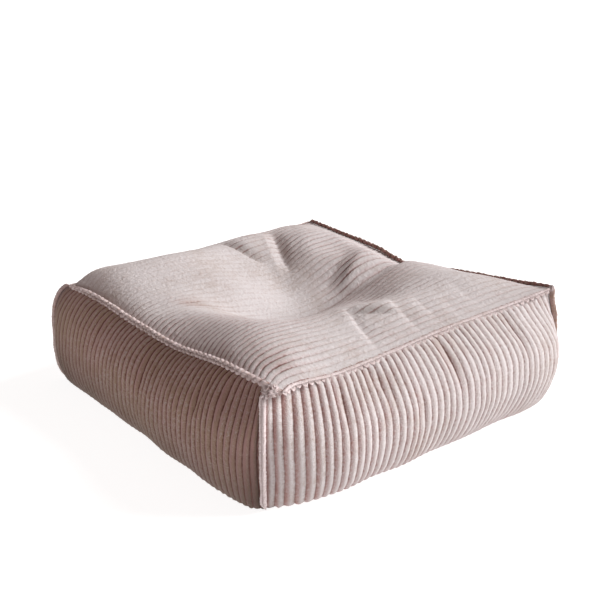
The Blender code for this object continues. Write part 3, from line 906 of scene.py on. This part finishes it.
# ---------------------------------------------------------------------------------------------
# The top seams. The allowances of the top panel and a side panel are turned outwards and sewn
# through, so they stand up as a welt of two layers. Where a layer's wales run into the seam
# their cut ends stand in a row like a rope; where they run beside it the layer is a plain strip.

WELT_ROOT = 0.0003
# The shares of a side at which its welt's three angles hold, the middle one between two of them.
WELT_TURNS = (0, 0.2, 0.8, 1)
# One layer's section, from the root to the notch between the two cut edges, as rows of
# (share of the welt's reach, share of the layer's thickness).
WELT_LAYER = (
    (0.00, 0.15), (0.10, 0.55), (0.26, 0.86), (0.45, 1.00), (0.64, 1.00), (0.82, 0.94),
    (0.94, 0.76), (1.00, 0.50), (0.94, 0.26), (0.80, 0.08),
)
# How uneven a welt is, the waves of that to a wale and to its section, and how fuzzy where its layer
# is thicker than a share of its full thickness.
WELT_UNEVENNESS = 0.10
WELT_WAVES = (0.35, 1.3)
WELT_FUZZ = 0.00035
FUZZ_FROM = 0.3
# The shares of a wale at which a welt is drawn, how round and how uneven its beads are, and how far
# the lower layer's beads are shifted. A plain strip shows this stretch of a wale's width instead.
BEAD_PLACES = tuple(np.arange(10) / 10)
BEAD_ROUNDNESS = 0.8
BEAD_UNEVENNESS = 0.35
LOWER_BEAD_SHIFT = 0.45
STRIP_FROM, STRIP_WIDTH = 0.5, 0.2

# The welts differ: where both panels' wales end in the seam it is a thick rope of beads. The lower
# layer's reach is given as a share of the upper one's, and the beads as how deep the dips between
# them are: for each layer in its thickness, and for both in their reach.
# The last column darkens a welt: partly its pile's dark way, partly painted shade, most on the right.
TopWelt = namedtuple("TopWelt", "reach lower_reach half_width upper_beads lower_beads bead_reach stroked")
TOP_WELTS = {
    "front": TopWelt(0.0055, 2.05, 0.0028, 0.00, 0.95, 0.50, 0.12),
    "right": TopWelt(0.0080, 1.05, 0.0036, 0.60, 0.60, 0.40, 1.00),
    "back": TopWelt(0.0080, 1.00, 0.0030, 0.00, 0.45, 0.14, 0.15),
    "left": TopWelt(0.0096, 1.00, 0.0054, 0.65, 0.65, 0.60, 0.22),
}
# How far the welts stand out at each corner, as a share of their reach.
CORNER_REACH = {"near": 1.0, "right": 0.60, "far": 0.8, "left": 0.5}
# Near its root, up to this share of its reach, a welt is darker by this much.
DARK_ROOT_TO = 0.15
DARK_ROOT = 0.7


def welt_layer(line, stand, out, count, form, longer, beads, sign, rng):
    """One layer of a welt: its section carried along line, reaching along stand and thick along
    out. The beads are the wales' ends: thickness and reach both follow the wale's rise."""
    reach, thick = np.array(WELT_LAYER).T
    strength = beads * (1 + BEAD_UNEVENNESS * rng.uniform(-1, 1, WALES + 2)[count.astype(int)])
    dip = (strength * (1 - np.abs(np.sin(np.pi * count)) ** BEAD_ROUNDNESS))[:, None]
    waves = ripples(count[:, None] * WELT_WAVES[0], reach[None] * WELT_WAVES[1], rng.integers(99))
    uneven = 1 + WELT_UNEVENNESS * waves
    thickness = form.half_width * thick * (1 - dip) * uneven
    reached = WELT_ROOT + form.reach * reach * (1 + (longer - 1) * reach)
    reached = reached * (1 - form.bead_reach * dip) * uneven
    fuzz = WELT_FUZZ * rng.normal(size=(2, *reached.shape)) * (thick > FUZZ_FROM)
    points = line[:, None] + (reached + fuzz[0])[..., None] * stand[:, None]
    points = points + sign * (thickness + fuzz[1])[..., None] * out[:, None]
    around = np.concatenate([[0], np.hypot(np.diff(reached[0]), np.diff(thickness[0])).cumsum()])
    if beads:
        return points, np.stack(np.broadcast_arrays(around[None], count[:, None]), axis=-1)
    strip = STRIP_FROM + STRIP_WIDTH * around / around[-1]
    return points, np.stack(np.broadcast_arrays(run_along(line, 0)[:, None], strip), axis=-1)


def make_welt(name, line, stand, count, form, end_shift, seed):
    """A welt of two layers back to back along line, closed at both ends."""
    rng = np.random.default_rng(seed)
    out = unit(np.cross(stand, np.gradient(line, axis=0)))
    upper, upper_uv = welt_layer(line, stand, out, count, form, 1, form.upper_beads, 1, rng)
    lower, lower_uv = welt_layer(
        line, stand, out, count + LOWER_BEAD_SHIFT, form, form.lower_reach, form.lower_beads, -1, rng
    )
    points = np.concatenate([upper, lower[:, ::-1]], axis=1)
    uv = np.concatenate([upper_uv, lower_uv[:, ::-1] + (0, WALES + 7)], axis=1)
    points = points + end_shift(points)
    numbers = np.arange(points[..., 0].size).reshape(points.shape[:2])
    ring = np.concatenate([numbers, numbers[:, :1]], axis=1)
    faces = [quads(ring)[:, ::-1], numbers[:1], numbers[-1:, ::-1]]
    reach = np.array(WELT_LAYER)[:, 0]
    dark_root = DARK_ROOT * (np.concatenate([reach, reach[::-1]]) < DARK_ROOT_TO)
    states = state(np.maximum(dark_root, form.stroked), 0, 0, 0, 0, points.shape[:2])
    return new_mesh(name, points.reshape(-1, 3), faces, uv.reshape(-1, 2), states)


def mitred(side, start, end, line):
    """A shift that brings both ends of a level welt onto the planes halfway round its corners."""
    outward = np.array([*side.outward, 0])
    forward = unit(np.array([end.x - start.x, end.y - start.y, 0.0]))
    forward = unit(forward - forward @ outward * outward)

    def shift(points):
        moved = np.zeros_like(points)
        for place, sign in ((0, -1), (-1, 1)):
            reach = (points[place] - line[place]) @ outward
            ahead = (points[place] - line[place]) @ forward
            moved[place] = (sign * (reach - WELT_ROOT) - ahead)[:, None] * forward
        return moved

    return shift


# The ends of a welt are rounded off over this share of its length, down to a share of its size, and
# its reach goes over to the corners' with this sharpness.
CAP_SHARE = 0.009
CAP_SIZE = 0.35
TAPER_SHARPNESS = 8


def capped(along):
    """1 along a welt, falling in a quarter circle to CAP_SIZE at both of its ends."""
    from_end = np.clip(np.minimum(along, 1 - along) / CAP_SHARE, 0, 1)
    return CAP_SIZE + (1 - CAP_SIZE) * np.sqrt(1 - (1 - from_end) ** 2)


def tapered(form, start_share, end_share, along):
    """The form with its reach and half width as columns, going at both ends to the given shares of
    the reach and to the square roots of them for the half width."""
    middle = 1 - np.abs(2 * along - 1) ** TAPER_SHARPNESS
    share = middle + (1 - middle) * ((1 - along) * start_share + along * end_share)
    reach, half_width = form.reach * share * capped(along), form.half_width * np.sqrt(share) * capped(along)
    return form._replace(reach=reach[:, None], half_width=half_width[:, None])


def level_stand(side, angle):
    """The direction at angle degrees above the side's outward direction, for each of the angles."""
    angle = np.radians(angle)[:, None]
    return np.cos(angle) * np.array([*side.outward, 0]) + np.sin(angle) * np.array([0, 0, 1])


# Groove is painted shade in the dips between the beads; shade is the painted shade colour.
SEAM_CLOTH = corduroy(
    "mauve_corduroy_seam", patchy=0.15,
    tips=(0.68, 0.58, 0.58), sides=(0.36, 0.19, 0.17), olive=(0.34, 0.23, 0.18),
    groove=(0.14, 0.06, 0.05), shade=(0.070, 0.048, 0.036),
)

for number, (side, start, end) in enumerate(sides_with_corners()):
    along = side_shares(BEAD_PLACES)[number]
    line = top_seam(side, start, end, along)
    angle = through(tuple(zip(WELT_TURNS, np.repeat(side.welt_angles, (1, 2, 1)))), along)
    form = tapered(TOP_WELTS[side.name], CORNER_REACH[start.name], CORNER_REACH[end.name], along)
    welt = make_welt(
        f"top_welt_{side.name}", line, level_stand(side, angle),
        wale_counts(BEAD_PLACES), form, mitred(side, start, end, line), seed=20 + number,
    )
    welt.data.materials.append(SEAM_CLOTH)
    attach(welt, "root")
    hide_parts(f"top_seam_{side.name}")


# ---------------------------------------------------------------------------------------------
# The corner seams. Two side panels are joined down each corner in the same way; their wales run
# beside the seam, so both layers are plain strips of pile. Each is folded over to one side.

# How far below the top seam each corner welt starts; at the near corner the fold hides its top.
CORNER_WELT_TOP = {"near": 0.006, "right": 0.005, "far": 0.002, "left": 0.002}
CORNER_WELT_STEPS = 160
# The direction in which each is folded over, in degrees from +X, and then as a top welt.
CornerWelt = namedtuple("CornerWelt", ("turn", *TopWelt._fields))
# The last column darkens each welt, on the right one as painted shade on its face turned from light.
CORNER_WELTS = {
    "near": CornerWelt(205, 0.0100, 1, 0.0042, 0, 0, 0, 0.00),
    "right": CornerWelt(325, 0.0090, 1, 0.0040, 0, 0, 0, 0.85),
    "far": CornerWelt(45, 0.0086, 1, 0.0032, 0, 0, 0, 0.15),
    "left": CornerWelt(95, 0.0080, 1, 0.0032, 0, 0, 0, 0.50),
}
# Over the last share of its length a corner welt is trodden down to a share of its reach.
FOOT_SHARE = 0.12
FOOT_REACH = 0.10

for number, start in enumerate(CORNERS):
    place = np.linspace(0, 1 - 1 / (len(WALL_ROWS) - 1), CORNER_WELT_STEPS + 1)
    drop = np.maximum(wall_column("drop", place), CORNER_WELT_TOP[start.name] / start.height)
    line = corner_point(start) + leaning_out(start, drop, wall_column("flare", place))
    line[:, 2] *= 1 - drop
    form = CORNER_WELTS[start.name]
    trodden = 1 - (1 - FOOT_REACH) * eased((place / place[-1] - 1 + FOOT_SHARE) / FOOT_SHARE)
    trodden = trodden * capped(0.5 * place / place[-1])
    form = form._replace(reach=form.reach * trodden[:, None], half_width=form.half_width * trodden[:, None])
    turn = np.radians(form.turn)
    welt = make_welt(
        f"corner_welt_{start.name}", line, np.tile([np.cos(turn), np.sin(turn), 0], (len(drop), 1)),
        drop * start.height / WALE_PITCH, form, np.zeros_like, seed=30 + number,
    )
    welt.data.materials.append(SEAM_CLOTH)
    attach(welt, "root")
    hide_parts(f"corner_seam_{start.name}")


# ---------------------------------------------------------------------------------------------
# The knots. At two corners the turned-out ends of the seams are bunched up into a small fuzzy lump
# of cut pile: at the near one over the fold, and at the right one as a small round knob.

Knot = namedtuple("Knot", "corner place half")
KNOTS = (
    Knot(0, (-0.0130, 0.0105, -0.0005), (0.0135, 0.0125, 0.0095)),
    Knot(1, (0.0030, -0.0010, -0.0015), (0.0062, 0.0062, 0.0060)),
)
# The depth of a knot's lumps, how many go around and down it, and how round and fuzzy they are.
KNOT_LUMPS = 0.28
LUMPS_AROUND, LUMPS_DOWN = 7, 5
LUMP_ROUNDNESS = 0.7
KNOT_FUZZ = 0.07
KNOT_STEPS = (56, 32)
KNOT_WALES = 5
KNOT_STROKED = 0.1

for number, form in enumerate(KNOTS):
    around, down = (np.linspace(0, 1, steps + 1) for steps in KNOT_STEPS)
    around, down = around[:, None], down[None]
    ring = np.abs(np.sin(np.pi * (LUMPS_AROUND * around + 0.5 * np.round(LUMPS_DOWN * down))))
    row = np.abs(np.sin(np.pi * LUMPS_DOWN * down)) ** LUMP_ROUNDNESS
    fuzz = KNOT_FUZZ * np.random.default_rng(60 + number).normal(size=ring.shape)
    size = 1 - KNOT_LUMPS * (1 - ring * row) + fuzz
    size[-1] = size[0]
    size[:, [0, -1]] = 1 - KNOT_LUMPS
    turn, tilt = 2 * np.pi * around, np.pi * down
    level = np.sin(tilt)
    ball = np.stack(np.broadcast_arrays(np.cos(turn) * level, np.sin(turn) * level, np.cos(tilt)), axis=-1)
    ball = corner_point(CORNERS[form.corner]) + form.place + ball * size[..., None] * form.half
    numbers = np.arange(size.size).reshape(size.shape)
    ball_uv = np.stack(np.broadcast_arrays(tilt * form.half[2], KNOT_WALES * around), axis=-1)
    name = CORNERS[form.corner].name
    knot = new_mesh(
        f"corner_knot_{name}", ball.reshape(-1, 3), [quads(numbers)[:, ::-1]], ball_uv.reshape(-1, 2),
        state(KNOT_STROKED, 0, 0, 0, 0, size.shape),
    )
    knot.data.materials.append(SEAM_CLOTH)
    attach(knot, "root")
    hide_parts(f"corner_seam_{name}")


# ---------------------------------------------------------------------------------------------
# The base seams. The side panels are joined to the bottom panel in the same way, and the weight
# of the filling has folded these welts down into the crease under the bulge.

BASE_WELT_ANGLE = -95
BASE_WELT = TopWelt(0.0086, 1, 0.0031, 0.40, 0.40, 0.14, 0.50)

for number, (side, start, end) in enumerate(sides_with_corners()):
    along = side_shares(BEAD_PLACES)[number]
    line = wall(side, start, end, along, np.array([1.0]))[:, 0]
    welt = make_welt(
        f"base_welt_{side.name}", line, level_stand(side, np.full(len(line), BASE_WELT_ANGLE)),
        wale_counts(BEAD_PLACES), BASE_WELT, mitred(side, start, end, line), seed=40 + number,
    )
    welt.data.materials.append(SEAM_CLOTH)
    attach(welt, "root")
    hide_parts(f"base_seam_{side.name}")


# ---------------------------------------------------------------------------------------------
# The floor: a plain pale studio floor, large enough to fill the view, with an edge that rises a
# little so that it also fills a low view.

FLOOR_HALF = 30.0
RIM_HALF, RIM_HEIGHT = 32.0, 1.5
floor_corners = [
    (x * half, y * half, height)
    for half, height in ((FLOOR_HALF, 0.0), (RIM_HALF, RIM_HEIGHT))
    for x, y in ((-1, -1), (1, -1), (1, 1), (-1, 1))
]
floor_mesh = bpy.data.meshes.new("floor")
floor_mesh.from_pydata(
    floor_corners, [], [(0, 1, 2, 3)] + [(i, 4 + i, 4 + (i + 1) % 4, (i + 1) % 4) for i in range(4)]
)
floor = bpy.data.objects.new("floor", floor_mesh)
bpy.context.scene.collection.objects.link(floor)
floor_paint = bpy.data.materials.new("pale_floor")
floor_paint.use_nodes = True
floor_shader = floor_paint.node_tree.nodes["Principled BSDF"]
floor_shader.inputs["Base Color"].default_value = (0.45, 0.45, 0.45, 1)
floor_shader.inputs["Roughness"].default_value = 0.9
floor_shader.inputs["Emission Color"].default_value = (1, 1, 1, 1)
floor_shader.inputs["Emission Strength"].default_value = 0.88
floor_shader.inputs["Specular IOR Level"].default_value = 0.1
floor_mesh.materials.append(floor_paint)


# ---------------------------------------------------------------------------------------------
# The light: one broad soft source high on the right, a little to the front, and a weak even fill.

# From the footstool towards the source.
TOWARDS_LIGHT = Vector((1.0, -0.52, 0.70))
lamp = bpy.data.lights.new("key_light", "SUN")
lamp.energy = 4.5
lamp.color = (0.97, 1.0, 1.0)
lamp.angle = np.radians(32)
key_light = bpy.data.objects.new("key_light", lamp)
key_light.rotation_euler = TOWARDS_LIGHT.to_track_quat("Z", "Y").to_euler()
bpy.context.scene.collection.objects.link(key_light)
world = bpy.data.worlds.new("studio")
bpy.context.scene.world = world
world.use_nodes = True
world.node_tree.nodes["Background"].inputs["Color"].default_value = (1, 0.795, 0.735, 1)
world.node_tree.nodes["Background"].inputs["Strength"].default_value = 0.24


# ---------------------------------------------------------------------------------------------
# The camera, at the photograph's angle.

CAMERA_PLACE = (-1.1830, -1.4157, 0.8085)
CAMERA_YAW = 39.997
CAMERA_PITCH = 19.207
yaw, pitch = np.radians(CAMERA_YAW), np.radians(CAMERA_PITCH)
camera_data = bpy.data.cameras.new("camera")
camera_data.sensor_width = 36
camera_data.lens = 69
camera = bpy.data.objects.new("camera", camera_data)
camera.location = CAMERA_PLACE
view_direction = Vector((np.sin(yaw) * np.cos(pitch), np.cos(yaw) * np.cos(pitch), -np.sin(pitch)))
camera.rotation_euler = view_direction.to_track_quat("-Z", "Y").to_euler()
bpy.context.scene.collection.objects.link(camera)
bpy.context.scene.camera = camera
bpy.context.scene.view_settings.view_transform = "Standard"
